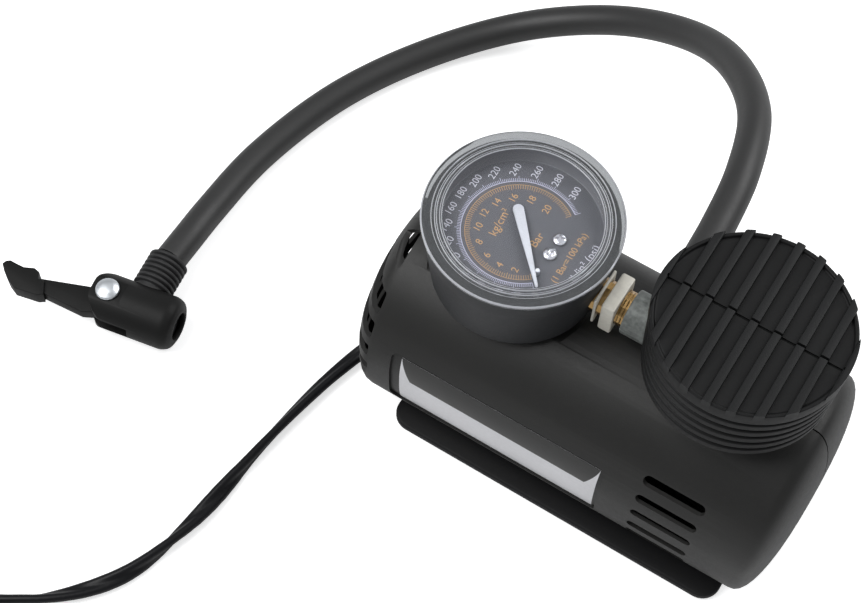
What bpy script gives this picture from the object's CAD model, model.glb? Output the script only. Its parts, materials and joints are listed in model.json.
"""Portable tire inflator: looks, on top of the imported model.

Sizes are in millimetres; the lamps and the floor are in metres.
"""
import json
import math

import bmesh
import bpy
from mathutils import Matrix, Vector


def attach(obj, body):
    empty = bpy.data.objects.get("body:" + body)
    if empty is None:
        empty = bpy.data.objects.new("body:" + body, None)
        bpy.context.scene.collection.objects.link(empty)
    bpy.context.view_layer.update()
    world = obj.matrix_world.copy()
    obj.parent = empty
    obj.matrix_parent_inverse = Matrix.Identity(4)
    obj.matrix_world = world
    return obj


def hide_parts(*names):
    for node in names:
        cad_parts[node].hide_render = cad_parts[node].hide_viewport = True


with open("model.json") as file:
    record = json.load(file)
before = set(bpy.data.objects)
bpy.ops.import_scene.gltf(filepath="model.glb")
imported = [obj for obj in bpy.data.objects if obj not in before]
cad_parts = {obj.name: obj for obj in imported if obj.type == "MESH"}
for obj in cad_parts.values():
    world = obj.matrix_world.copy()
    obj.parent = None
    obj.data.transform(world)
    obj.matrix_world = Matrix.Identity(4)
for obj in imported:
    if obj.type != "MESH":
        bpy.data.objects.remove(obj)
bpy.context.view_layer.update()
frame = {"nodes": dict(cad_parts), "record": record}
NODES = frame["nodes"]
MM = 0.001

# ---- sizes ----

GAP = 0.3
LENGTH, HALF_DEPTH, DROP, RISE = 133, 32, 26.1, 31  # drop and rise start at the widest line
MIDDLE_Z = 30  # height of the widest line
UPPER, LOWER = 2.05, 3.4  # squareness of the section above and below it, where 2 is round
WALL = 2.4
LEFT_DOME, RIGHT_DOME = (11, 2.2), (8, 2.4)  # length and squareness
SEAM = {"shows": 56, "tight": 0.03, "open": 0.2}  # half its width, left and right of where it shows
PAST_X, PAST_Y, BELOW, ABOVE = 80, 70, -5, 90  # clear of the housing, for its cutters
PLATE = {"length": 105, "width": 65, "corner": 5.5, "x": 4, "low": 0.8, "high": 3.6}
LOUVRE = {"x": 35.9, "length": 18, "height": 3.2, "levels": (15, 8.4, 1, -7, -13.5)}
VENT = {"depth": 10.2, "seam": 4.1, "wall": 1.0, "margin": 1.5, "round": 0.7}
# Each vent's level above the widest line, height, and how far in from the left end it starts
VENT_SLOTS = ((29.2, 4, 3.5), (20.7, 5, -2), (13.3, 5.3, -2), (5.7, 4.6, -2), (-2.6, 3.6, -2))
THIN_WALL = {"reach": 11, "front": -18, "low": 13, "high": 48}  # behind the louvres
LABEL_FIELD = {"left": -49, "length": 66, "above": 11, "below": 14, "depth": 0.8}
FILM = {"left": -46.1, "right": 15.8, "low": 16.2, "high": 39.6, "band": 30.5, "horn": 3.4}
CYLINDER_X, BARREL_RADIUS = 34.7, 16.5
HEAD = {"radius": 19, "low": 63.8, "high": 76}
AIR_Z = 70
AIR_BOSS_X, OUTLET_X = 4, 12
AIR_BOSS_RADIUS = 6.25
CAP = {"rim": 25.4, "foot": 24.6, "low": 72, "floor": 94.4, "lip": 0.7, "wall": 3.1}
CAP_NOTCH = (-1, 18), (-7, 17), (71, 76.6)  # in the skirt, for the boss and the hose
FIN = {"count": 5, "pitch": 3.77, "flat": 2.2, "depth": 1.3, "root": (2.7, 3.4)}
RIB = {"count": 9, "pitch": 6.2, "width": 2.3, "height": 1.6}
GAUGE_X = -29.3
CASE = {"top": 25.2, "foot": 23, "low": 59, "high": 82.4, "lip": 85.0, "wall": 2.4}
DIAL_Z = 80.3
PRINT_X, PRINT_Y = GAUGE_X - 0.1, -0.8
STOP_PIN = GAUGE_X + 9.95, -9.28
DIAL_SCREW = {"x": GAUGE_X + 9.9, "y": (2.6, -2.6)}
LENS = {"radius": 26.3, "low": 85.3, "high": 86.9, "plate": 1.1, "window": 20.8}
NEEDLE_REST = math.radians(-48)
SWEEP = math.radians(260)
HOSE_RADIUS = 4.75
CORD_WIDTH, CORD_THICKNESS = 4.8, 2.6
STEM = {"root": 4.45, "crest": 4.9, "pitch": 0.9, "low": -0.8, "high": 6, "hole": 4.95}
# Name, node, start along the stem, thickness, width and bevel
STEM_PLATES = (
    ("square_flange", "gauge_flange", -4.4, 0.8, 10.9, 0.3),
    ("square_nut", "gauge_nut", -2.1, 3.8, 11.8, 0.6),
)
CHUCK = {
    "radius": 8.15, "z": 8.2, "turn": math.radians(10.35), "rivet": (-136.3, -46.9),
    "rear": -5, "mouth": 22,
}
COLLAR = {"radius": 6.15, "length": 11.5, "ribs": 7, "foot": (9.4, 7.75), "angle": math.radians(87.4)}
COIL = {"x": -124, "y": -182, "radius": 25, "pitch": 4.8, "layers": 4, "turns": 4, "start": math.radians(110)}
TIE = {"thickness": 0.8, "width": 4, "angle": math.radians(-75)}
NUMERAL_SIZE = 2.75
PSI_NUMERALS = {
    "count": 16, "start": 0, "step": 20, "radius": 19.1, "inward": 0,
    "angle": 312.3, "spacing": 14.1, "widening": 0.134,
}
BAR_NUMERALS = {
    "count": 10, "start": 2, "step": 2, "radius": 11.6, "inward": 0.18,
    "angle": 294.4, "spacing": 20.5, "widening": 0.43,
}
PSI_RING, BAR_RING = 15.5, 14.4
PLUG = {"x": -172, "y": -186, "z": 10.55, "radius": 10.5, "handle": 30, "end": 58, "tip": 4}


# ---- camera, light and floor ----

CAMERA = {
    "lens": 75.75, "place": (67.5, -219.8, 479.1),
    "right": (0.8493, 0.5273, 0.0257), "back": (0.2325, -0.4174, 0.8785),
}


def make_camera():
    data = bpy.data.cameras.new("camera")
    data.lens = CAMERA["lens"]
    data.sensor_width = 36
    data.clip_start, data.clip_end = 0.01, 20
    camera = bpy.data.objects.new("camera", data)
    bpy.context.scene.collection.objects.link(camera)
    right = Vector(CAMERA["right"]).normalized()
    back = Vector(CAMERA["back"]).normalized()
    up = back.cross(right).normalized()
    right = up.cross(back)
    turn = Matrix((right, up, back)).transposed().to_4x4()
    camera.matrix_world = Matrix.Translation(Vector(CAMERA["place"]) * MM) @ turn
    bpy.context.scene.camera = camera


def make_lamp(name, place, target, size, power):
    data = bpy.data.lights.new(name, "AREA")
    data.shape = "RECTANGLE"
    data.size, data.size_y = size
    data.energy = power
    lamp = bpy.data.objects.new(name, data)
    lamp.location = place
    lamp.rotation_euler = (Vector(target) - Vector(place)).to_track_quat("-Z", "Y").to_euler()
    bpy.context.scene.collection.objects.link(lamp)


def camera_white(nodes, links):
    """1 for rays straight from the camera or through glass, else 0."""
    path = nodes.new("ShaderNodeLightPath")
    rays = path.outputs["Is Camera Ray"], path.outputs["Is Transmission Ray"]
    return math_node(nodes, links, "MAXIMUM", *rays)


def make_world():
    world = bpy.data.worlds.new("studio")
    bpy.context.scene.world = world
    world.use_nodes = True
    nodes, links = world.node_tree.nodes, world.node_tree.links
    nodes.clear()
    output = nodes.new("ShaderNodeOutputWorld")
    mix = nodes.new("ShaderNodeMixShader")
    light = nodes.new("ShaderNodeBackground")
    light.inputs["Color"].default_value = (0.95, 0.97, 1, 1)
    light.inputs["Strength"].default_value = 0.34
    white = nodes.new("ShaderNodeBackground")
    white.inputs["Color"].default_value = (1, 1, 1, 1)
    links.new(camera_white(nodes, links), mix.inputs[0])
    links.new(light.outputs[0], mix.inputs[1])
    links.new(white.outputs[0], mix.inputs[2])
    links.new(mix.outputs[0], output.inputs["Surface"])


def make_floor():
    bm = bmesh.new()
    bmesh.ops.create_grid(bm, x_segments=1, y_segments=1, size=3)
    mesh = bpy.data.meshes.new("floor")
    bm.to_mesh(mesh)
    bm.free()
    floor = bpy.data.objects.new("floor", mesh)
    floor.location.z = -0.0002
    bpy.context.scene.collection.objects.link(floor)
    material = bpy.data.materials.new("white_floor")
    material.use_nodes = True
    nodes, links = material.node_tree.nodes, material.node_tree.links
    shader = nodes["Principled BSDF"]
    shader.inputs["Base Color"].default_value = (0.86, 0.86, 0.86, 1)
    shader.inputs["Roughness"].default_value = 0.9
    shader.inputs["Specular IOR Level"].default_value = 0
    glow = nodes.new("ShaderNodeMixRGB")
    glow.inputs[1].default_value = (0, 0, 0, 1)
    glow.inputs[2].default_value = (0.62, 0.62, 0.62, 1)
    links.new(camera_white(nodes, links), glow.inputs[0])
    links.new(glow.outputs[0], shader.inputs["Emission Color"])
    shader.inputs["Emission Strength"].default_value = 1
    mesh.materials.append(material)


# ---- shader groups ----

def shader_group(name, inputs, outputs):
    group = bpy.data.node_groups.new(name, "ShaderNodeTree")
    for label, kind, value in inputs:
        socket = group.interface.new_socket(label, in_out="INPUT", socket_type="NodeSocket" + kind)
        socket.default_value = value
    for label, kind in outputs:
        group.interface.new_socket(label, in_out="OUTPUT", socket_type="NodeSocket" + kind)
    nodes, links = group.nodes, group.links
    return group, nodes, links, nodes.new("NodeGroupInput"), nodes.new("NodeGroupOutput")


def math_node(nodes, links, operation, a, b):
    node = nodes.new("ShaderNodeMath")
    node.operation = operation
    for socket, value in zip(node.inputs, (a, b)):
        if isinstance(value, (int, float)):
            socket.default_value = value
        else:
            links.new(value, socket)
    return node.outputs[0]


def noise_node(nodes, links, vector, scale, detail=3):
    node = nodes.new("ShaderNodeTexNoise")
    node.inputs["Detail"].default_value = detail
    links.new(vector, node.inputs["Vector"])
    if isinstance(scale, (int, float)):
        node.inputs["Scale"].default_value = scale
    else:
        links.new(scale, node.inputs["Scale"])
    return node.outputs["Fac"]


def spread(nodes, links, value, amount):
    """A value of about 0.5 spread round 1 by an amount."""
    centred = math_node(nodes, links, "SUBTRACT", value, 0.5)
    return math_node(nodes, links, "ADD", math_node(nodes, links, "MULTIPLY", centred, amount), 1)


def make_moulded_grain():
    """Colour clouds, uneven gloss and a fine grain, for moulded plastic, rubber and castings."""
    group, nodes, links, inside, outside = shader_group(
        "moulded_grain",
        [
            ("Colour", "Color", (0.02, 0.02, 0.02, 1)),
            ("Clouds", "Float", 0.3),
            ("Mottle", "Float", 0.1),
            ("Roughness", "Float", 0.5),
            ("Gloss Change", "Float", 0.2),
            ("Grain Scale", "Float", 2500),
            ("Grain Depth", "Float", 0.1),
            ("Edge Light", "Float", 0.0),
        ],
        [("Colour", "Color"), ("Roughness", "Float"), ("Normal", "Vector")],
    )
    place = nodes.new("ShaderNodeTexCoord").outputs["Object"]
    clouds = noise_node(nodes, links, place, 55)
    fine = noise_node(nodes, links, place, 900, 2)
    grain = noise_node(nodes, links, place, inside.outputs["Grain Scale"], 2)
    shade = spread(nodes, links, clouds, inside.outputs["Clouds"])
    shade = math_node(nodes, links, "MULTIPLY", shade, spread(nodes, links, fine, inside.outputs["Mottle"]))
    pointed = nodes.new("ShaderNodeNewGeometry").outputs["Pointiness"]
    edge = math_node(nodes, links, "SUBTRACT", pointed, 0.52)
    edge = math_node(nodes, links, "MULTIPLY", math_node(nodes, links, "MAXIMUM", edge, 0), 12)
    edge = math_node(nodes, links, "MULTIPLY", edge, inside.outputs["Edge Light"])
    shade = math_node(nodes, links, "ADD", shade, edge)
    scaled = nodes.new("ShaderNodeVectorMath")
    scaled.operation = "SCALE"
    links.new(inside.outputs["Colour"], scaled.inputs[0])
    links.new(shade, scaled.inputs["Scale"])
    links.new(scaled.outputs[0], outside.inputs["Colour"])
    gloss = spread(nodes, links, fine, inside.outputs["Gloss Change"])
    rough = math_node(nodes, links, "MULTIPLY", gloss, inside.outputs["Roughness"])
    links.new(rough, outside.inputs["Roughness"])
    bump = nodes.new("ShaderNodeBump")
    bump.inputs["Distance"].default_value = 0.00012
    links.new(inside.outputs["Grain Depth"], bump.inputs["Strength"])
    links.new(grain, bump.inputs["Height"])
    links.new(bump.outputs[0], outside.inputs["Normal"])
    return group


def make_lathe_marks():
    """Fine stretched scratches for turned, drawn and plated metal."""
    group, nodes, links, inside, outside = shader_group(
        "lathe_marks",
        [
            ("Colour", "Color", (0.6, 0.6, 0.6, 1)),
            ("Roughness", "Float", 0.3),
            ("Tarnish", "Float", 0.3),
            ("Mark Depth", "Float", 0.1),
        ],
        [("Colour", "Color"), ("Roughness", "Float"), ("Normal", "Vector")],
    )
    place = nodes.new("ShaderNodeTexCoord").outputs["Object"]
    stretch = nodes.new("ShaderNodeMapping")
    stretch.inputs["Scale"].default_value = (6, 1, 1)
    links.new(place, stretch.inputs["Vector"])
    marks = noise_node(nodes, links, stretch.outputs[0], 900, 4)
    stain = noise_node(nodes, links, place, 240, 4)
    shade = spread(nodes, links, stain, inside.outputs["Tarnish"])
    scaled = nodes.new("ShaderNodeVectorMath")
    scaled.operation = "SCALE"
    links.new(inside.outputs["Colour"], scaled.inputs[0])
    links.new(shade, scaled.inputs["Scale"])
    links.new(scaled.outputs[0], outside.inputs["Colour"])
    gloss = spread(nodes, links, marks, 0.6)
    rough = math_node(nodes, links, "MULTIPLY", gloss, inside.outputs["Roughness"])
    links.new(rough, outside.inputs["Roughness"])
    bump = nodes.new("ShaderNodeBump")
    bump.inputs["Distance"].default_value = 0.0001
    links.new(inside.outputs["Mark Depth"], bump.inputs["Strength"])
    links.new(marks, bump.inputs["Height"])
    links.new(bump.outputs[0], outside.inputs["Normal"])
    return group


MOULDED_GRAIN = make_moulded_grain()
LATHE_MARKS = make_lathe_marks()


def finish_with(name, group, values, constants):
    """A Principled material fed by one shader group."""
    material = bpy.data.materials.new(name)
    material.use_nodes = True
    nodes, links = material.node_tree.nodes, material.node_tree.links
    shader = nodes["Principled BSDF"]
    node = nodes.new("ShaderNodeGroup")
    node.node_tree = group
    for label, value in values.items():
        node.inputs[label].default_value = (*value, 1) if isinstance(value, tuple) else value
    links.new(node.outputs["Colour"], shader.inputs["Base Color"])
    links.new(node.outputs["Roughness"], shader.inputs["Roughness"])
    links.new(node.outputs["Normal"], shader.inputs["Normal"])
    for label, value in constants.items():
        shader.inputs[label].default_value = value
    return material


def moulded(
    name, colour, roughness, scale=2500, depth=0.12, clouds=0.25, edge=0.4, mottle=0.15,
    shine=0.5, metallic=0.0,
):
    values = {
        "Colour": colour,
        "Clouds": clouds,
        "Mottle": mottle,
        "Roughness": roughness,
        "Gloss Change": 0.25,
        "Grain Scale": scale,
        "Grain Depth": depth,
        "Edge Light": edge,
    }
    constants = {"Specular IOR Level": shine, "Metallic": metallic}
    return finish_with(name, MOULDED_GRAIN, values, constants)


def metal(name, colour, roughness, tarnish=0.3, depth=0.08):
    values = {"Colour": colour, "Roughness": roughness, "Tarnish": tarnish, "Mark Depth": depth}
    return finish_with(name, LATHE_MARKS, values, {"Metallic": 1})


def clear_plastic(name, colour, roughness, share):
    """See-through moulded plastic that lets the lamps through to what lies under it."""
    material = bpy.data.materials.new(name)
    material.use_nodes = True
    nodes, links = material.node_tree.nodes, material.node_tree.links
    shader = nodes["Principled BSDF"]
    shader.inputs["Base Color"].default_value = (*colour, 1)
    shader.inputs["Roughness"].default_value = roughness
    shader.inputs["IOR"].default_value = 1.3
    shader.inputs["Transmission Weight"].default_value = share
    path = nodes.new("ShaderNodeLightPath")
    shade = math_node(nodes, links, "MULTIPLY", path.outputs["Is Shadow Ray"], 0.9)
    links.new(math_node(nodes, links, "SUBTRACT", 1, shade), shader.inputs["Alpha"])
    return material


SHELL_BLACK = moulded("shell_black_plastic", (0.015, 0.0148, 0.014), 0.48, 2600, 0.16, shine=0.32)
CAP_BLACK = moulded("cap_black_plastic", (0.0045, 0.0046, 0.0047), 0.52, 2200, 0.1, edge=1.5, shine=0.2)
PLATE_BLACK = moulded("base_black_plastic", (0.005, 0.005, 0.0055), 0.6, 2400, 0.12, shine=0.25)
CASE_GREY = moulded("case_grey_plastic", (0.026, 0.027, 0.029), 0.5, 3000, 0.08, 0.12, shine=0.25)
TOOL_BLACK = moulded("chuck_black_plastic", (0.009, 0.009, 0.0088), 0.5, 2600, 0.08, shine=0.16)
HOSE_GREY = moulded("hose_grey_rubber", (0.021, 0.021, 0.0208), 0.5, 1500, 0.1, 0.3)
RUBBER_BLACK = moulded("black_rubber", (0.01, 0.01, 0.0105), 0.6, 1800, 0.15)
CORD_BLACK = moulded("cord_black_vinyl", (0.005, 0.005, 0.006), 0.38, 1600, 0.06, shine=0.25)
CAST_ZINC = moulded("cast_zinc", (0.125, 0.135, 0.128), 0.55, 900, 0.6, 0.9, 0.6, 1.6, metallic=0.25)
NUT_WHITE = moulded("off_white_plating", (0.54, 0.52, 0.46), 0.45, 1500, 0.2, 0.5, 0.3, 0.35)
DIAL_GREY = moulded("dial_grey_paint", (0.07, 0.072, 0.08), 0.55, 3000, 0.04, 0.08)
PRINT_WHITE = moulded("print_white", (0.5, 0.5, 0.54), 0.6, 3000, 0.02, 0.15)
PRINT_LAVENDER = moulded("print_lavender", (0.42, 0.42, 0.52), 0.6, 3000, 0.02, 0.15)
PRINT_ORANGE = moulded("print_orange", (0.40, 0.235, 0.095), 0.6, 3000, 0.02, 0.15)
NEEDLE_WHITE = moulded("needle_white_paint", (0.4, 0.41, 0.43), 0.35, 3000, 0.02, 0.1)
LABEL_BLACK = moulded("label_black_film", (0.012, 0.012, 0.011), 0.34, 3000, 0.03, 0.15)
LABEL_WHITE = moulded("label_white_film", (0.66, 0.66, 0.68), 0.36, 3000, 0.03, 0.15)
INNER_BLACK = moulded("inner_black_plastic", (0.012, 0.012, 0.012), 0.55, 1800, 0.1)
FERRITE = moulded("dark_ferrite", (0.05, 0.05, 0.055), 0.6, 1500, 0.3)
CARBON = moulded("brush_carbon", (0.02, 0.02, 0.02), 0.7, 1500, 0.3)
BRIGHT_STEEL = metal("bright_steel", (0.66, 0.66, 0.68), 0.22, 0.25)
PLATED_STEEL = metal("plated_steel", (0.68, 0.68, 0.69), 0.16, 0.2)
RIVET_ZINC = metal("zinc_plated_rivet", (0.74, 0.77, 0.8), 0.42, 0.35, 0.15)
BRASS = metal("turned_brass", (0.36, 0.23, 0.095), 0.3, 0.9)
CLEAR = clear_plastic("clear_lens_plastic", (0.86, 0.87, 0.9), 0, 1)
EDGE_LINE = moulded("lens_edge_line", (0.45, 0.46, 0.49), 0.3, 3000, 0.02, 0.3)
DIAL_WALL = moulded("dial_wall_paint", (0.13, 0.132, 0.14), 0.55, 3000, 0.04, 0.08)
CLEAR_RIM = clear_plastic("lens_rim_plastic", (0.30, 0.31, 0.32), 0.04, 0.85)

CAD_FINISHES = {
    "foot_rubber": RUBBER_BLACK,
    "steel": BRIGHT_STEEL,
    "plated": PLATED_STEEL,
    "zinc": CAST_ZINC,
    "brass": BRASS,
    "magnet": FERRITE,
    "carbon": CARBON,
    "inner_plastic": INNER_BLACK,
    "cup_rubber": RUBBER_BLACK,
    "housing": SHELL_BLACK,
    "cap": CAP_BLACK,
    "base": PLATE_BLACK,
    "case": CASE_GREY,
    "lens": CLEAR,
    "dial": DIAL_GREY,
    "needle": NEEDLE_WHITE,
    "stem_white": NUT_WHITE,
    "hose": HOSE_GREY,
    "trim_rubber": RUBBER_BLACK,
    "cord": CORD_BLACK,
    "tool_plastic": TOOL_BLACK,
}


def finish_cad_nodes():
    for part in frame["record"]["subparts"]:
        node = NODES[part["node"]]
        node.data.materials.clear()
        node.data.materials.append(CAD_FINISHES[part["material_slot"]])


# ---- mesh tools ----

def turn_to(axis, x, y, z):
    """Places a shape made along Z so that it runs along an axis from a point."""
    turns = {"x": Matrix.Rotation(math.pi / 2, 4, "Y"), "y": Matrix.Rotation(-math.pi / 2, 4, "X")}
    return Matrix.Translation((x, y, z)) @ turns[axis]


def softened(points, radius, segments=3):
    """An outline of (r, z) points with its inner corners rounded; the end points stay."""
    out = [points[0]]
    for before, corner, after in zip(points, points[1:], points[2:]):
        c, a, b = Vector(corner), Vector(before), Vector(after)
        into, away = (a - c), (b - c)
        reach = min(radius, into.length * 0.45, away.length * 0.45)
        if reach < 0.02:
            out.append(corner)
            continue
        start, end = c + into.normalized() * reach, c + away.normalized() * reach
        for i in range(segments + 1):
            t = i / segments
            out.append(tuple(start * (1 - t) ** 2 + c * 2 * t * (1 - t) + end * t ** 2))
    out.append(points[-1])
    return out


def spun(profile, place=Matrix.Identity(4), steps=96):
    """A bmesh turned about Z from (radius, height) points, then put in place."""
    bm = bmesh.new()
    corners = [bm.verts.new((r, 0, z)) for r, z in profile]
    for a, b in zip(corners, corners[1:]):
        bm.edges.new((a, b))
    bmesh.ops.spin(
        bm, geom=bm.verts[:] + bm.edges[:], cent=(0, 0, 0), axis=(0, 0, 1),
        angle=2 * math.pi, steps=steps, use_merge=True,
    )
    bmesh.ops.remove_doubles(bm, verts=bm.verts, dist=0.002)
    bmesh.ops.recalc_face_normals(bm, faces=bm.faces)
    bmesh.ops.transform(bm, matrix=place, verts=bm.verts)
    return bm


def rod(radius, low, high, place, steps=96, edge=0.0):
    """A round rod between two heights, its rims softened where an edge is given."""
    profile = [(0, low), (radius, low), (radius, high), (0, high)]
    return spun(softened(profile, edge) if edge else profile, place, steps)


def raised(outline, low, high, place=Matrix.Identity(4), bevel=0.0, segments=3):
    """A bmesh of a plan outline raised between two heights, with its rims bevelled."""
    bm = bmesh.new()
    face = bm.faces.new([bm.verts.new((x, y, low)) for x, y in outline])
    made = bmesh.ops.extrude_face_region(bm, geom=[face])
    top = [v for v in made["geom"] if isinstance(v, bmesh.types.BMVert)]
    bmesh.ops.translate(bm, vec=(0, 0, high - low), verts=top)
    bmesh.ops.recalc_face_normals(bm, faces=bm.faces)
    if bevel:
        rims = [e for e in bm.edges if abs(e.verts[0].co.z - e.verts[1].co.z) < 1e-6]
        bmesh.ops.bevel(
            bm, geom=rims, offset=bevel, segments=segments, affect="EDGES", profile=0.5, material=-1,
        )
    bmesh.ops.transform(bm, matrix=place, verts=bm.verts)
    return bm


def block(x, y, z, bevel=0.0, place=Matrix.Identity(4)):
    """A box between pairs of coordinates, with all its edges bevelled."""
    bm = bmesh.new()
    bmesh.ops.create_cube(bm, size=1)
    size = Matrix.Diagonal((x[1] - x[0], y[1] - y[0], z[1] - z[0], 1))
    middle = Matrix.Translation(((x[0] + x[1]) / 2, (y[0] + y[1]) / 2, (z[0] + z[1]) / 2))
    bmesh.ops.transform(bm, matrix=middle @ size, verts=bm.verts)
    if bevel:
        bmesh.ops.bevel(
            bm, geom=bm.edges[:], offset=bevel, segments=2, affect="EDGES", profile=0.5, material=-1,
        )
    bmesh.ops.transform(bm, matrix=place, verts=bm.verts)
    return bm


def arc(x, y, radius, start, end, steps):
    return [
        (x + radius * math.cos(start + (end - start) * i / steps),
         y + radius * math.sin(start + (end - start) * i / steps))
        for i in range(steps + 1)
    ]


def rounded_rectangle(x, y, width, height, radius, steps=6):
    w, h = width / 2 - radius, height / 2 - radius
    quarter = math.pi / 2
    corners = [(1, -1, -1), (1, 1, 0), (-1, 1, 1), (-1, -1, 2)]
    return [
        point
        for sx, sy, k in corners
        for point in arc(x + sx * w, y + sy * h, radius, k * quarter, (k + 1) * quarter, steps)
    ]


AT_CYLINDER = Matrix.Translation((CYLINDER_X, 0, 0))
AT_GAUGE = Matrix.Translation((GAUGE_X, 0, 0))


def mesh_of(bm, name):
    mesh = bpy.data.meshes.new(name)
    bm.to_mesh(mesh)
    bm.free()
    return mesh


def combine(base, *steps):
    """Joins or cuts a bmesh with others: each step is ("UNION" | "DIFFERENCE" | "INTERSECT", bmesh)."""
    target = bpy.data.objects.new("work", mesh_of(base, "work"))
    bpy.context.scene.collection.objects.link(target)
    for operation, tool in steps:
        other = bpy.data.objects.new("tool", mesh_of(tool, "tool"))
        bpy.context.scene.collection.objects.link(other)
        change = target.modifiers.new("change", "BOOLEAN")
        change.operation = operation
        change.solver = "EXACT"
        change.object = other
        graph = bpy.context.evaluated_depsgraph_get()
        result = bpy.data.meshes.new_from_object(target.evaluated_get(graph))
        target.modifiers.clear()
        target.data = result
        bpy.data.objects.remove(other)
    bm = bmesh.new()
    bm.from_mesh(target.data)
    bpy.data.objects.remove(target)
    return bm


def gathered(*parts):
    """Several separate bmeshes in one."""
    whole = bmesh.new()
    for part in parts:
        whole.from_mesh(mesh_of(part, "part"))
    return whole


def new_piece(name, bm, material, body="compressor", stands_for=(), sharp=35, merge=0.0005):
    """Turns a bmesh in millimetres into a finished piece that rides on a body."""
    if merge:
        bmesh.ops.remove_doubles(bm, verts=bm.verts, dist=merge)
    bmesh.ops.transform(bm, matrix=Matrix.Scale(MM, 4), verts=bm.verts)
    mesh = mesh_of(bm, name)
    mesh.materials.append(material)
    mesh.shade_smooth()
    mesh.set_sharp_from_angle(angle=math.radians(sharp))
    piece = bpy.data.objects.new(name, mesh)
    bpy.context.scene.collection.objects.link(piece)
    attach(piece, body)
    if stands_for:
        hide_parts(*stands_for)
    return piece


# ---- hose and power cord ----

def catmull(points, per_span=14):
    """A smooth line through points, with centripetal spacing."""
    pts = [Vector(p) for p in points]
    pts = [pts[0] * 2 - pts[1]] + pts + [pts[-1] * 2 - pts[-2]]
    line = []
    for p0, p1, p2, p3 in zip(pts, pts[1:], pts[2:], pts[3:]):
        t0 = 0.0
        t1 = t0 + (p1 - p0).length ** 0.5
        t2 = t1 + (p2 - p1).length ** 0.5
        t3 = t2 + (p3 - p2).length ** 0.5
        for i in range(per_span):
            t = t1 + (t2 - t1) * i / per_span
            a1 = p0.lerp(p1, (t - t0) / (t1 - t0))
            a2 = p1.lerp(p2, (t - t1) / (t2 - t1))
            a3 = p2.lerp(p3, (t - t2) / (t3 - t2))
            b1 = a1.lerp(a2, (t - t0) / (t2 - t0))
            b2 = a2.lerp(a3, (t - t1) / (t3 - t1))
            line.append(b1.lerp(b2, (t - t1) / (t2 - t1)))
    line.append(pts[-2])
    return line


def sweep(line, section, roll=None):
    """A tube mesh along a line; section points are (sideways, upwards), rolled by roll(i) radians."""
    bm = bmesh.new()
    rings = []
    for i, point in enumerate(line):
        ahead = (line[min(i + 1, len(line) - 1)] - line[max(i - 1, 0)]).normalized()
        side = Vector((0, 0, 1)).cross(ahead).normalized()
        up = ahead.cross(side)
        angle = roll(i) if roll else 0
        across = side * math.cos(angle) + up * math.sin(angle)
        over = up * math.cos(angle) - side * math.sin(angle)
        rings.append([bm.verts.new(point + across * a + over * b) for a, b in section])
    count = len(section)
    for first, second in zip(rings, rings[1:]):
        for k in range(count):
            bm.faces.new((first[k], first[(k + 1) % count], second[(k + 1) % count], second[k]))
    bm.faces.new(list(reversed(rings[0])))
    bm.faces.new(rings[-1])
    bmesh.ops.recalc_face_normals(bm, faces=bm.faces)
    return bm


def chuck_matrix():
    x, y = CHUCK["rivet"]
    return Matrix.Translation((x, y, CHUCK["z"])) @ Matrix.Rotation(CHUCK["turn"], 4, "Z")


def collar_matrix():
    x, y = COLLAR["foot"]
    place = chuck_matrix() @ Matrix.Translation((x, y, 0))
    turn = Matrix.Rotation(COLLAR["angle"] - math.pi / 2, 4, "Z")
    return place @ turn @ Matrix.Rotation(-math.pi / 2, 4, "X")


HOSE_REST = HOSE_RADIUS + 0.15
HOSE_ROUTE = [
    (OUTLET_X, 13, AIR_Z), (11.8, 23, AIR_Z), (11.2, 36, AIR_Z), (9, 54, AIR_Z - 0.5),
    (1.3, 78.5, AIR_Z - 7.5), (-15.3, 100.3, AIR_Z - 21), (-35.1, 112.6, AIR_Z - 36),
    (-59.1, 115.2, AIR_Z - 50), (-84.4, 105.8, HOSE_REST + 4.3), (-106, 83.2, HOSE_REST),
    (-121.4, 53.6, HOSE_REST), (-129.8, 21, HOSE_REST), (-131, -3.6, HOSE_REST + 0.9),
]


def make_hose():
    place = collar_matrix()
    length = COLLAR["length"] + GAP
    route = HOSE_ROUTE + [(-130.3, -16.4, 7.6), place @ Vector((0, 0, length))]
    line = catmull(route)
    section = arc(0, 0, HOSE_RADIUS, 0, 2 * math.pi, 28)[:-1]
    tube = sweep(line, section)
    piece = new_piece("rubber_hose", tube, HOSE_GREY, stands_for=["air_hose"])
    return piece, line


CORD_EXIT = Vector((-62.2, -14, MIDDLE_Z - 21))
CORD_OUT = Vector((-0.53, -0.53, -0.66)).normalized()
CORD_REST = 2.0
CORD_ON_EDGE = (58, 93, 133)  # along the cord, from the housing
CORD_GROUND = [
    (-69.9, -30.1), (-72.1, -41.5), (-74.5, -58.4), (-78.3, -91), (-84.9, -112.3), (-100.3, -129.9),
]


def coil_line():
    """The coil's middle line: layers in and out, each climbing in its last half turn."""
    pitch, turns, layers = COIL["pitch"], COIL["turns"], COIL["layers"]
    span = (turns - 0.5) * pitch
    inner = COIL["radius"] - span / 2
    rest = TIE["thickness"] + GAP + CORD_REST
    line = []
    per_turn = 24
    for i in range(per_turn * layers * turns + 1):
        at = i / per_turn
        layer = min(layers - 1, int(at // turns))
        within = at - layer * turns
        last = layer == layers - 1
        travelled = (within if last else min(within, turns - 0.5)) * pitch
        climb = 0 if last else max(0, within - turns + 0.5) / 0.5
        radius = inner + span - travelled if layer % 2 == 0 else inner + travelled
        angle = COIL["start"] + 2 * math.pi * at
        line.append(Vector((
            COIL["x"] + radius * math.cos(angle),
            COIL["y"] + radius * math.sin(angle),
            rest + (layer + climb) * pitch,
        )))
    return line


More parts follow.
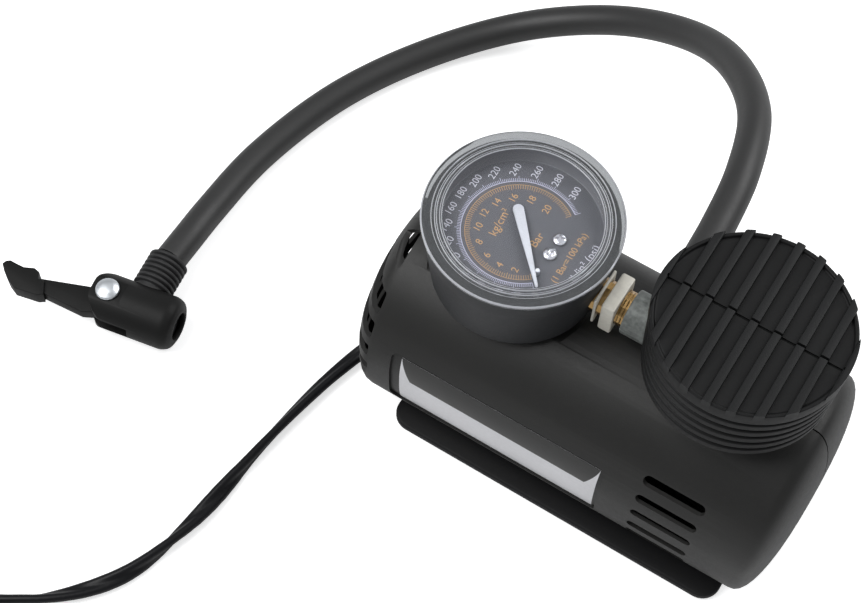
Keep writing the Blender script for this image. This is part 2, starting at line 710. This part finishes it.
def cord_line():
    """The whole cord: seen stretch, coil past the corner of the view, and the tail to the plug."""
    coil = coil_line()
    into = (coil[0] - coil[1]).normalized()
    out = (coil[-1] - coil[-2]).normalized()
    seen = [CORD_EXIT - CORD_OUT, Vector((-66.2, -18.1, CORD_REST + 1.6))]
    seen += [Vector((x, y, CORD_REST + 0.45)) for x, y in CORD_GROUND]
    seen += [coil[0] + into * 15.8, coil[0] + into * 4]
    x, y, z = PLUG["x"], PLUG["y"], PLUG["z"]
    tail = [coil[-1] + out * 4, coil[-1] + out * 13.8, Vector((x + 11, y + 25, z + 1.5))]
    tail += [Vector((x + 2, y + 14, z + 0.3)), Vector((x, y + 6, z)), Vector((x, y + GAP, z))]
    first, last = catmull(seen, 10), catmull(tail, 8)
    return first + coil + last


def twin_section():
    """Two round cores side by side, joined by a web."""
    radius = CORD_THICKNESS / 2
    offset = CORD_WIDTH / 2 - radius
    right = arc(offset, 0, radius, math.radians(-125), math.radians(125), 9)
    left = arc(-offset, 0, radius, math.radians(55), math.radians(305), 9)
    return right + left


def make_cord():
    line = cord_line()
    travelled = [0]
    for a, b in zip(line, line[1:]):
        travelled.append(travelled[-1] + (b - a).length)

    def roll(i):
        """The flex lies on edge at each place of CORD_ON_EDGE and turns half round between them."""
        turn, start = 0, 0
        for k, place in enumerate(CORD_ON_EDGE):
            target = math.pi * (k + 0.5)
            if travelled[i] < place:
                return turn + (target - turn) * (travelled[i] - start) / (place - start)
            turn, start = target, place
        return turn

    piece = new_piece(
        "twin_cord", sweep(line, twin_section(), roll), CORD_BLACK,
        stands_for=["power_cord", "cord_coil", "cord_tail"],
    )
    return piece, line


# ---- housing ----

def superellipse_loop(bm, x, scale, inset, count):
    """A ring of vertices and edges for one section of the barrel."""
    def power(value, exponent):
        return math.copysign(abs(value) ** (2 / exponent), value)

    ring = []
    for k in range(count):
        angle = 2 * math.pi * k / count
        upper = math.sin(angle) >= 0
        squareness = UPPER if upper else LOWER
        height = (RISE if upper else DROP) - inset
        y = (HALF_DEPTH - inset) * power(math.cos(angle), squareness) * scale
        z = MIDDLE_Z + height * power(math.sin(angle), squareness) * scale
        ring.append(bm.verts.new((x, y, z)))
    return [bm.edges.new((a, b)) for a, b in zip(ring, ring[1:] + ring[:1])]


def barrel(inset, count=96, rings=10):
    """The closed barrel, drawn in by an inset: sections bridged, with domed ends."""
    half = LENGTH / 2 - inset
    sections = []
    for side, (reach, squareness) in ((-1, LEFT_DOME), (1, RIGHT_DOME)):
        reach -= inset / 2
        dome = []
        for i in range(rings + 1):
            angle = i / (rings + 0.35) * math.pi / 2
            out = math.sin(angle) ** (2 / squareness)
            dome.append((side * (half - reach + reach * out), math.cos(angle) ** (2 / squareness)))
        sections += reversed(dome) if side < 0 else dome
    bm = bmesh.new()
    loops = [superellipse_loop(bm, x, scale, inset, count) for x, scale in sections]
    for a, b in zip(loops, loops[1:]):
        bmesh.ops.bridge_loops(bm, edges=a + b)
    ends = [bmesh.ops.contextual_create(bm, geom=loop)["faces"][0] for loop in (loops[0], loops[-1])]
    bmesh.ops.poke(bm, faces=ends)
    bmesh.ops.recalc_face_normals(bm, faces=bm.faces)
    return bm


FRONT_UP = Matrix.Translation((0, 0, MIDDLE_Z)) @ Matrix.Rotation(math.pi / 2, 4, "X")


def vent_cutters(side):
    end = -LENGTH / 2
    y = (-PAST_Y, -VENT["seam"]) if side < 0 else (VENT["seam"], PAST_Y)
    made = []
    for level, height, start in VENT_SLOTS:
        z = (MIDDLE_Z + level - height / 2, MIDDLE_Z + level + height / 2)
        made.append(block((end + start, end + VENT["depth"]), y, z, VENT["round"]))
    return made


def louvre_cutters():
    made = []
    height = LOUVRE["height"]
    for level in LOUVRE["levels"]:
        flat = rounded_rectangle(LOUVRE["x"], level, LOUVRE["length"], height, height / 2 - 0.02)
        made.append(raised(flat, 10, HALF_DEPTH + 4, FRONT_UP))
    return made


def label_cutter():
    field = LABEL_FIELD
    flat = rounded_rectangle(
        field["left"] + field["length"] / 2, (field["above"] - field["below"]) / 2,
        field["length"], field["above"] + field["below"], 2.5,
    )
    return combine(raised(flat, 5, PAST_Y, FRONT_UP), ("DIFFERENCE", barrel(field["depth"])))


def thin_hollow():
    """The hollow where the wall is thin: at the vented end and behind the louvres."""
    inner = VENT["depth"] + VENT["margin"] - LENGTH / 2
    vented = block((-PAST_X, inner), (-PAST_Y, PAST_Y), (BELOW, ABOVE))
    thin = THIN_WALL
    x = (LOUVRE["x"] - thin["reach"], LOUVRE["x"] + thin["reach"])
    louvred = block(x, (-PAST_Y, thin["front"]), (thin["low"], thin["high"]))
    return combine(barrel(VENT["wall"], 64, 6), ("INTERSECT", gathered(vented, louvred)))


def make_shell_half(side):
    """A closed barrel less its other half, the hollows and the openings; in front, less the label field."""
    other = -PAST_Y * side
    floor = rod(CASE["foot"], CASE["low"] - GAP - WALL, CASE["low"] + 5, AT_GAUGE)
    tools = [
        block((-PAST_X, SEAM["shows"]), sorted((SEAM["tight"] * side, other)), (BELOW, ABOVE)),
        block((SEAM["shows"] - 0.1, PAST_X), sorted((SEAM["open"] * side, other)), (BELOW, ABOVE)),
        combine(barrel(WALL, 64, 6), ("DIFFERENCE", floor)),
        thin_hollow(),
        rod(BARREL_RADIUS + GAP, 40, ABOVE, AT_CYLINDER),
        rod(CASE["foot"] + 0.8, CASE["low"] - GAP, ABOVE, AT_GAUGE),
        gathered(*vent_cutters(side)),
    ]
    if side < 0:
        tools += [gathered(*louvre_cutters()), label_cutter()]
    return combine(barrel(0), *[("DIFFERENCE", tool) for tool in tools])


def make_housing():
    for side, name, node in ((-1, "front_shell", "front_housing"), (1, "rear_shell", "rear_housing")):
        half = make_shell_half(side)
        new_piece(name, half, SHELL_BLACK, stands_for=[node], sharp=32)


def make_base():
    outline = rounded_rectangle(PLATE["x"], 0, PLATE["length"], PLATE["width"], PLATE["corner"], 10)
    plate = raised(outline, PLATE["low"], PLATE["high"], bevel=0.7)
    new_piece("stand_plate", plate, PLATE_BLACK, stands_for=["base_plate"])


# ---- label: bare white film under a bare black panel ----

def surface_y(z, inset):
    """The front surface of the barrel's straight part at a height."""
    upper = z >= MIDDLE_Z
    squareness = UPPER if upper else LOWER
    height = (RISE if upper else DROP) - inset
    t = min(1, abs(z - MIDDLE_Z) / height)
    return -(HALF_DEPTH - inset) * (1 - t ** squareness) ** (1 / squareness)


def wrapped(outline_grid, lift):
    """A sheet of (x, z) rows laid on the label field, a little proud of it."""
    bm = bmesh.new()
    inset = LABEL_FIELD["depth"] - lift
    rows = [[bm.verts.new((x, surface_y(z, inset), z)) for x, z in row] for row in outline_grid]
    for low, high in zip(rows, rows[1:]):
        for a, b, c, d in zip(low, low[1:], high[1:], high):
            bm.faces.new((a, b, c, d))
    bmesh.ops.recalc_face_normals(bm, faces=bm.faces)
    return bm


def make_label():
    left, right, high, band = FILM["left"], FILM["right"], FILM["high"], FILM["band"]
    steps = 24

    def horn(z):
        """How far the black panel stands in from the film's ends."""
        return FILM["horn"] * (1 - (z - band) / (high - band)) ** 1.3

    def rows(bottom, inset):
        levels = [bottom + (high - bottom) * i / steps for i in range(steps + 1)]
        return [
            [(left + inset(z) + (right - left - 2 * inset(z)) * k / steps, z) for k in range(steps + 1)]
            for z in levels
        ]

    white = rows(FILM["low"], lambda z: 0)
    black = rows(band, horn)
    new_piece("label_film_white", wrapped(white, 0.06), LABEL_WHITE, merge=0)
    new_piece("label_film_black", wrapped(black, 0.10), LABEL_BLACK, merge=0)


# ---- ribbed cap and cylinder head ----

def cap_profile():
    low, floor, rim = CAP["low"], CAP["floor"], CAP["rim"]
    height = floor - low

    def taper(z):
        return CAP["foot"] + (rim - CAP["foot"]) * (z - low) / height

    inner = CAP["foot"] - CAP["wall"]
    points = [(0, floor - 2.8), (inner, floor - 2.8), (inner, low)]
    for i in range(FIN["count"]):
        z = low + i * FIN["pitch"]
        points += [(taper(z), z), (taper(z), z + FIN["flat"])]
        points += [(taper(z) - FIN["depth"], z + up) for up in FIN["root"]]
    lip = floor + CAP["lip"]
    points += [(rim, low + FIN["count"] * FIN["pitch"]), (rim, lip), (rim - 1, lip)]
    return softened(points + [(rim - 1.3, floor), (0, floor)], 0.35)


def make_cap():
    shell = spun(cap_profile(), AT_CYLINDER, 128)
    z = (CAP["floor"] - 1, CAP["floor"] + RIB["height"])
    ribs = []
    for i in range(RIB["count"]):
        x = CYLINDER_X + (i - (RIB["count"] - 1) / 2) * RIB["pitch"]
        ribs.append(block((x - RIB["width"] / 2, x + RIB["width"] / 2), (-30, 30), z, 0.4))
    within = rod(CAP["rim"] + 0.1, 90, 99, AT_CYLINDER, 128)
    ribs = combine(gathered(*ribs), ("INTERSECT", within))
    groove = block((CYLINDER_X - 24, CYLINDER_X + 24), (-0.35, 0.35), (CAP["floor"] - 0.5, 100))
    notch = block(*CAP_NOTCH, 0.5)
    low = HEAD["high"] + GAP
    post = spun([(5, low), (7, low), (7, 92.4), (5, 92.4), (5, low)], AT_CYLINDER)
    body = combine(shell, ("UNION", ribs), ("UNION", post), ("DIFFERENCE", groove), ("DIFFERENCE", notch))
    new_piece("ribbed_cap", body, CAP_BLACK, stands_for=["cylinder_cap"], sharp=30)


def make_head():
    at_boss = turn_to("x", AIR_BOSS_X, 0, AIR_Z)
    puck = rod(HEAD["radius"], HEAD["low"], HEAD["high"], AT_CYLINDER, edge=1)
    bore = rod(5.15, -1, 5.2, at_boss)
    boss = rod(AIR_BOSS_RADIUS, 0, 30, at_boss, edge=0.5)
    outlet = rod(5, 0, 8, turn_to("y", OUTLET_X, 0, AIR_Z), 48, 0.5)
    head = combine(puck, ("UNION", boss), ("UNION", outlet), ("DIFFERENCE", bore))
    new_piece("zinc_head", head, CAST_ZINC, stands_for=["cylinder_head"], sharp=40)


# ---- gauge ----

def make_gauge_case():
    low, high = CASE["low"], CASE["high"]
    inner = CASE["top"] - CASE["wall"]
    profile = [
        (0, low), (CASE["foot"] - 1.5, low), (CASE["foot"], low + 2.2), (CASE["top"] - 0.3, high - 5),
        (CASE["top"], high - 3), (CASE["top"], CASE["lip"]), (inner, CASE["lip"]),
        (inner, DIAL_Z - 1.1), (inner - 2, DIAL_Z - 1.1), (inner - 2, low + 2.2), (0, low + 2.2),
    ]
    case = spun(softened(profile, 1.2, 5), AT_GAUGE, 128)
    new_piece("gauge_bowl", case, CASE_GREY, stands_for=["gauge_case"])


def make_lens():
    """The clear front, with two fine raised rings round its window."""
    low, high, rim = LENS["low"], LENS["high"], LENS["radius"]
    under = high - LENS["plate"]
    profile = [
        (0, under), (22.2, under), (22.2, low), (rim - 0.5, low), (rim, low + 0.5), (rim, high - 0.4),
        (rim - 0.4, high), (23.6, high), (23.4, high - 0.3), (22.7, high - 0.3), (22.5, high),
        (22.2, high), (22.0, high - 0.3), (21.4, high - 0.3), (21.2, high), (20.9, high),
        (20.7, high - 0.3), (0, high - 0.3),
    ]
    lens = spun(softened(profile, 0.15, 4), AT_GAUGE, 128)
    piece = new_piece("clear_lens", lens, CLEAR, stands_for=["gauge_lens"])
    piece.data.materials.append(CLEAR_RIM)
    piece.data.materials.append(EDGE_LINE)
    for face in piece.data.polygons:
        away = math.hypot(face.center.x / MM - GAUGE_X, face.center.y / MM)
        sloping = 0.2 < face.normal.z < 0.9
        bright = sloping and face.center.z > (high - 0.7) * MM
        face.material_index = 2 if bright else int(away > LENS["window"])


def on_dial(angle, radius):
    """A place on the print, which sits a little off the needle's axis."""
    return PRINT_X + radius * math.cos(angle), PRINT_Y + radius * math.sin(angle)


def scale_angle(fraction):
    """Clockwise seen from above, from the needle's rest."""
    return NEEDLE_REST - SWEEP * fraction


def dial_line(radius, width, z):
    """A thin curved line on the dial along the whole scale."""
    bm = bmesh.new()
    steps = 120
    pairs = []
    for i in range(steps + 1):
        angle = scale_angle(i / steps)
        edges = (radius - width / 2, radius + width / 2)
        pairs.append([bm.verts.new((*on_dial(angle, r), z)) for r in edges])
    for (a, b), (c, d) in zip(pairs, pairs[1:]):
        bm.faces.new((a, b, d, c))
    bmesh.ops.recalc_face_normals(bm, faces=bm.faces)
    return bm


def dial_ticks(count, long_every, inner, short, long, width, z):
    marks = []
    for i in range(count + 1):
        angle = scale_angle(i / count)
        reach = long if i % long_every == 0 else short
        bm = bmesh.new()
        along = Vector((math.cos(angle), math.sin(angle), 0))
        across = Vector((-along.y, along.x, 0)) * width / 2
        foot = Vector((PRINT_X, PRINT_Y, z)) + along * inner
        tip = foot + along * (reach - inner)
        corners = (foot - across, tip - across, tip + across, foot + across)
        bm.faces.new([bm.verts.new(p) for p in corners])
        marks.append(bm)
    return marks


def words(text, size, x, y, turn, z):
    """Flat lettering laid on the dial, centred on a point."""
    curve = bpy.data.curves.new("words", "FONT")
    curve.body = text
    curve.size = size
    curve.align_x = curve.align_y = "CENTER"
    carrier = bpy.data.objects.new("words", curve)
    bpy.context.scene.collection.objects.link(carrier)
    graph = bpy.context.evaluated_depsgraph_get()
    mesh = bpy.data.meshes.new_from_object(carrier.evaluated_get(graph))
    bpy.data.objects.remove(carrier)
    bm = bmesh.new()
    bm.from_mesh(mesh)
    place = Matrix.Translation((x, y, z)) @ Matrix.Rotation(turn, 4, "Z")
    bmesh.ops.transform(bm, matrix=place, verts=bm.verts)
    return bm


def numerals(scale, z):
    """A scale's numbers, whose spacing widens a little along it."""
    made = []
    for i in range(scale["count"]):
        angle = math.radians(scale["angle"] - scale["spacing"] * i - scale["widening"] * i * i)
        x, y = on_dial(angle, scale["radius"] - scale["inward"] * i)
        number = str(scale["start"] + scale["step"] * i)
        made.append(words(number, NUMERAL_SIZE, x, y, math.radians(91), z))
    return made


def make_dial_plate():
    """The dial with a low wall round it, which has a paint of its own."""
    rim = CASE["top"] - CASE["wall"] - 0.1
    low, high = DIAL_Z - 0.8, CASE["lip"] - 0.4
    profile = [(0, low), (rim, low), (rim, high), (rim - 0.4, high), (rim - 1.2, DIAL_Z), (0, DIAL_Z)]
    plate = spun(softened(profile, 0.3), AT_GAUGE, 128)
    pan = new_piece("dial_plate", plate, DIAL_GREY, stands_for=["gauge_dial"])
    pan.data.materials.append(DIAL_WALL)
    for face in pan.data.polygons:
        face.material_index = int(face.center.z > (DIAL_Z + 0.02) * MM)


def make_stop_pin():
    pin = rod(0.62, DIAL_Z - 0.3, DIAL_Z + 2, Matrix.Translation((*STOP_PIN, 0)), 24, 0.3)
    new_piece("stop_pin", pin, NEEDLE_WHITE)


def make_dial_print():
    z = DIAL_Z + 0.03
    white = numerals(PSI_NUMERALS, z)
    orange = numerals(BAR_NUMERALS, z)
    white.append(words("lb/in² (psi)", 3.1, GAUGE_X + 18.9, 0.1, math.radians(87), z))
    orange.append(words("Bar", 3.3, GAUGE_X + 4.9, -0.7, math.radians(88), z))
    orange.append(words("kg/cm²", 3.3, GAUGE_X - 6, -1.2, math.radians(95), z))
    orange.append(words("(1 Bar=100 kPa)", 2.6, GAUGE_X + 14.7, -0.7, math.radians(90), z))
    lavender = [dial_line(PSI_RING, 0.2, z)] + dial_ticks(150, 10, PSI_RING, 16.5, 17.1, 0.15, z)
    orange += [dial_line(BAR_RING, 0.14, z)] + dial_ticks(100, 10, BAR_RING, 13.1, 12.8, 0.15, z)
    new_piece("dial_print_white", gathered(*white), PRINT_WHITE, merge=0)
    new_piece("dial_print_lavender", gathered(*lavender), PRINT_LAVENDER, merge=0)
    new_piece("dial_print_orange", gathered(*orange), PRINT_ORANGE, merge=0)


def make_needle():
    low = DIAL_Z + 1.4
    place = AT_GAUGE @ Matrix.Rotation(NEEDLE_REST, 4, "Z")
    tail = arc(-5.15, 0, 1.45, math.radians(90), math.radians(270), 12)
    outline = tail + [(0, -1.25), (18.0, -0.35), (18.3, 0), (18.0, 0.35), (0, 1.25)]
    blade = raised(outline, low, low + 0.7, place, 0.15, 2)
    profile = [(0, 66.8), (1.3, 66.8), (1.3, 68.4), (0.7, 68.4), (0.7, low + 0.2), (0, low + 0.2)]
    spindle = spun(profile, AT_GAUGE, 24)
    new_piece("white_needle", combine(blade, ("UNION", spindle)), NEEDLE_WHITE, body="needle",
              stands_for=["gauge_needle"])


def make_dial_screws():
    low = DIAL_Z + 0.05
    profile = [
        (0, low - 3), (0.8, low - 3), (0.8, low), (1.95, low), (1.95, low + 0.5), (1.2, low + 0.95),
        (0, low + 1.05),
    ]
    for i, y in enumerate(DIAL_SCREW["y"]):
        place = Matrix.Translation((DIAL_SCREW["x"], y, 0))
        head = spun(softened(profile, 0.2), place, 32)
        turn = place @ Matrix.Rotation(0.5 + i * 0.6, 4, "Z")
        slots = [block((-1.25, 1.25), (-0.3, 0.3), (low + 0.2, low + 2), 0, turn),
                 block((-0.3, 0.3), (-1.25, 1.25), (low + 0.2, low + 2), 0, turn)]
        screw = combine(head, *[("DIFFERENCE", s) for s in slots])
        node = f"dial_screw_{i + 1}"
        new_piece(f"cross_screw_{i + 1}", screw, BRIGHT_STEEL, stands_for=[node])


def make_stem():
    along = turn_to("x", 0, 0, AIR_Z)
    neck = rod(4.2, -4.6, -1, along, 48, 0.2)
    new_piece("stem_neck", neck, CAST_ZINC)
    root, crest, x = STEM["root"], STEM["crest"], STEM["low"]
    points = [(0, x)]
    while x < STEM["high"]:
        points += [(root, x), (crest, x + 0.35), (crest, x + 0.45), (root, x + 0.8)]
        x += STEM["pitch"]
    points.append((0, x))
    thread = spun(softened(points, 0.08, 1), along, 64)
    new_piece("stem_thread", thread, BRASS)
    for name, node, start, thick, width, bevel in STEM_PLATES:
        half = width / 2
        plate = block((start, start + thick), (-half, half), (AIR_Z - half, AIR_Z + half), bevel)
        hole = rod(STEM["hole"], start - 1, start + thick + 1, along, 48)
        plate = combine(plate, ("DIFFERENCE", hole))
        new_piece(name, plate, NUT_WHITE, stands_for=[node])


# ---- chuck ----

def along_chuck():
    """Lays a shape made along Z along the chuck, from its rivet to its mouth."""
    return chuck_matrix() @ Matrix.Rotation(math.pi / 2, 4, "Y")


def make_collar():
    radius, length, ribs = COLLAR["radius"], COLLAR["length"], COLLAR["ribs"]
    pitch = length / ribs
    root = radius - 0.9
    points = [(0, -2.5), (root, -2.5)]
    for i in range(ribs):
        z = i * pitch
        points += [(root, z), (radius, z + 0.25 * pitch), (radius, z + 0.7 * pitch), (root, z + 0.9 * pitch)]
    points += [(root, length), (0, length)]
    sleeve = spun(softened(points, 0.2), collar_matrix(), 64)
    saddle = rod(CHUCK["radius"] + 0.1, -30, 40, along_chuck(), 64)
    sleeve = combine(sleeve, ("DIFFERENCE", saddle))
    return new_piece(
        "ribbed_collar", sleeve, RUBBER_BLACK, stands_for=["hose_collar"],
    )


def make_chuck_barrel():
    place = chuck_matrix()
    radius, rear, mouth = CHUCK["radius"], CHUCK["rear"], CHUCK["mouth"]
    profile = [
        (0, rear), (radius, rear), (radius, mouth - 3), (radius - 0.9, mouth - 0.9),
        (radius - 3, mouth), (4.2, mouth), (4.2, mouth - 1.6), (6, mouth - 1.6), (6, mouth - 8),
        (0, mouth - 8),
    ]
    body = spun(softened(profile, 0.8, 4), along_chuck(), 80)
    end = arc(2.9, 0, radius + 0.1, math.pi / 2, 1.5 * math.pi, 24)
    end += [(40, -radius - 0.1), (40, radius + 0.1)]
    trimmed = raised(end, -20, 20, place)
    slot = block((-20, 9), (-20, 5.4), (-2.3, 2.3), 0.3, place)
    flat = block((-20, 5), (-20, 20), (radius - 0.9, 20), 0.2, place)
    shape = combine(body, ("INTERSECT", trimmed), ("DIFFERENCE", slot), ("DIFFERENCE", flat))
    return new_piece(
        "chuck_barrel", shape, TOOL_BLACK, stands_for=["chuck_body"], sharp=30,
    )


def make_mouth_seal():
    low, high = CHUCK["mouth"] - 7.7, CHUCK["mouth"] - 2.1
    ring = [(3.9, low), (5.7, low), (5.7, high), (3.9, high), (3.9, low)]
    seal = spun(softened(ring, 0.3), along_chuck(), 48)
    return new_piece("mouth_seal", seal, RUBBER_BLACK, stands_for=["chuck_seal"])


def make_rivet():
    top = CHUCK["radius"] - 0.6
    profile = [
        (0, -6.7), (2, -6.7), (2, top), (3.65, top), (3.45, top + 0.7), (1.9, top + 1.5), (0, top + 1.75),
    ]
    rivet = spun(softened(profile, 0.4, 4), chuck_matrix(), 48)
    return new_piece("bright_rivet", rivet, RIVET_ZINC, stands_for=["chuck_rivet"])


def make_lever():
    turn = chuck_matrix() @ Matrix.Rotation(math.radians(5.35), 4, "Z")
    arm = arc(0, 0, 4.9, math.pi / 2, -math.pi / 2, 14)
    arm += [(-6.5, -6.4), (-22.4, -3.4), (-22.4, 0.4), (-6, 2.3)]
    paddle = [
        (-18.9, -4.8), (-20.3, -0.5), (-22.3, -0.1), (-22.9, 2), (-24.6, 2.8), (-27.8, 2.2),
        (-30.3, 2.7), (-32.4, 3.2), (-33.6, 2.7), (-34.3, 1.5), (-32.9, -0.6), (-30.4, -3.3),
        (-27.8, -5.2), (-20.7, -5.5),
    ]
    blade = raised(arm, -2, 2, turn, 0.35)
    step = raised(paddle, -2, 3, turn, 0.35)
    hole = rod(2.3, -10, 10, chuck_matrix(), 32)
    lever = combine(blade, ("UNION", step), ("DIFFERENCE", hole))
    return new_piece(
        "thumb_lever", lever, TOOL_BLACK, body="lever", stands_for=["chuck_lever"],
    )


# ---- power cord's ends ----

def make_grommet():
    turn = Vector((0, 0, 1)).rotation_difference(CORD_OUT).to_matrix().to_4x4()
    place = Matrix.Translation(CORD_EXIT - CORD_OUT * 1.6) @ turn
    profile = [(2.0, 0), (3.6, 0), (3.6, 2.2), (3.2, 2.6), (2.0, 2.6), (2.0, 0)]
    ring = spun(softened(profile, 0.2), place, 32)
    new_piece("cord_bush", ring, RUBBER_BLACK, stands_for=["cord_grommet"])


def make_tie():
    span = (COIL["turns"] - 0.5) * COIL["pitch"]
    inner = COIL["radius"] - span / 2
    reach = 1.9
    low = TIE["thickness"] + 0.1
    high = TIE["thickness"] + 2 * GAP + CORD_REST + (COIL["layers"] - 1) * COIL["pitch"] + reach
    near, far = inner - reach - GAP, inner + span + reach + GAP
    place = (Matrix.Translation((COIL["x"], COIL["y"], 0)) @ Matrix.Rotation(TIE["angle"], 4, "Z")
             @ Matrix.Rotation(math.pi / 2, 4, "X"))
    middle = ((near + far) / 2, (low + high) / 2)
    outer = rounded_rectangle(*middle, far - near + 1.6, high - low + 1.6, 1.8)
    hollow = rounded_rectangle(*middle, far - near, high - low, 1)
    opening = raised(hollow, -1, 5, place)
    band = combine(raised(outer, 0, TIE["width"], place, 0.15), ("DIFFERENCE", opening))
    return new_piece("coil_tie", band, RUBBER_BLACK, stands_for=["cord_tie"])


def plug_matrix():
    place = Matrix.Translation((PLUG["x"], PLUG["y"], PLUG["z"]))
    return place @ Matrix.Rotation(math.pi / 2, 4, "X")


def make_plug_body():
    radius, handle, end, tip = PLUG["radius"], PLUG["handle"], PLUG["end"], PLUG["tip"]
    profile = [
        (0, 0), (4, 0), (radius - 1.5, 7), (radius, 12), (radius - 0.8, 20), (radius, handle),
        (radius - 0.8, handle + 1), (radius - 0.8, end), (tip + 1.5, end), (tip + 1.5, end - 20),
        (0, end - 20),
    ]
    body = spun(softened(profile, 0.8, 4), plug_matrix(), 64)
    pockets = []
    for side in (-1, 1):
        span = sorted((side * (radius - 3.1), side * (radius + 5)))
        pockets.append(block(span, (-3.3, 3.3), (31.7, 56.3), 0, plug_matrix()))
    body = combine(body, *[("DIFFERENCE", pocket) for pocket in pockets])
    return new_piece("lighter_plug", body, TOOL_BLACK, stands_for=["plug_body"])


def make_plug_leaves():
    made = []
    for i, side in enumerate((-1, 1)):
        span = sorted((side * (PLUG["radius"] - 2.8), side * (PLUG["radius"] + 0.2)))
        leaf = block(span, (-3, 3), (32, 56), 0.6, plug_matrix())
        node = f"plug_contact_{i + 1}"
        made.append(new_piece(f"plug_leaf_{i + 1}", leaf, PLATED_STEEL, stands_for=[node]))
    return made


def make_plug_nut():
    radius, end = PLUG["radius"], PLUG["end"]
    bore, low = PLUG["tip"] + GAP, end + GAP
    profile = [
        (bore, low), (radius - 1.2, low), (radius - 1.2, end + 5), (radius - 3.2, end + 8),
        (bore, end + 8), (bore, low),
    ]
    ring = spun(softened(profile, 0.4), plug_matrix(), 48)
    return new_piece("plug_nut", ring, PLATED_STEEL, stands_for=["plug_ring"])


def make_plug_nose():
    end, tip = PLUG["end"], PLUG["tip"]
    flange = end - 13
    profile = [
        (0, flange), (tip + 1.1, flange), (tip + 1.1, flange + 2), (tip, flange + 2), (tip, end + 10),
        (tip - 1.5, end + 13), (0, end + 13.5),
    ]
    nose = spun(softened(profile, 0.6), plug_matrix(), 40)
    return new_piece("plug_nose", nose, BRASS, body="tip", stands_for=["plug_tip"])


# ---- all together ----

make_camera()
make_world()
make_floor()
make_lamp("key_light", (-0.5, -0.35, 0.95), (0, 0, 0.04), (0.7, 0.7), 9)
make_lamp("back_light", (0.35, 0.75, 0.7), (0, 0, 0.05), (0.8, 0.5), 6)

finish_cad_nodes()
hose, hose_line = make_hose()
cord, cord_path = make_cord()
chuck_pieces = [make_collar(), make_chuck_barrel(), make_mouth_seal(), make_rivet(), make_lever()]
tie = make_tie()
plug_pieces = [make_plug_body(), *make_plug_leaves(), make_plug_nut(), make_plug_nose()]
make_grommet()
make_housing()
make_base()
make_label()
make_cap()
make_head()
make_gauge_case()
make_lens()
make_dial_plate()
make_stop_pin()
make_dial_print()
make_needle()
make_dial_screws()
make_stem()

bpy.context.scene.view_settings.view_transform = "Standard"
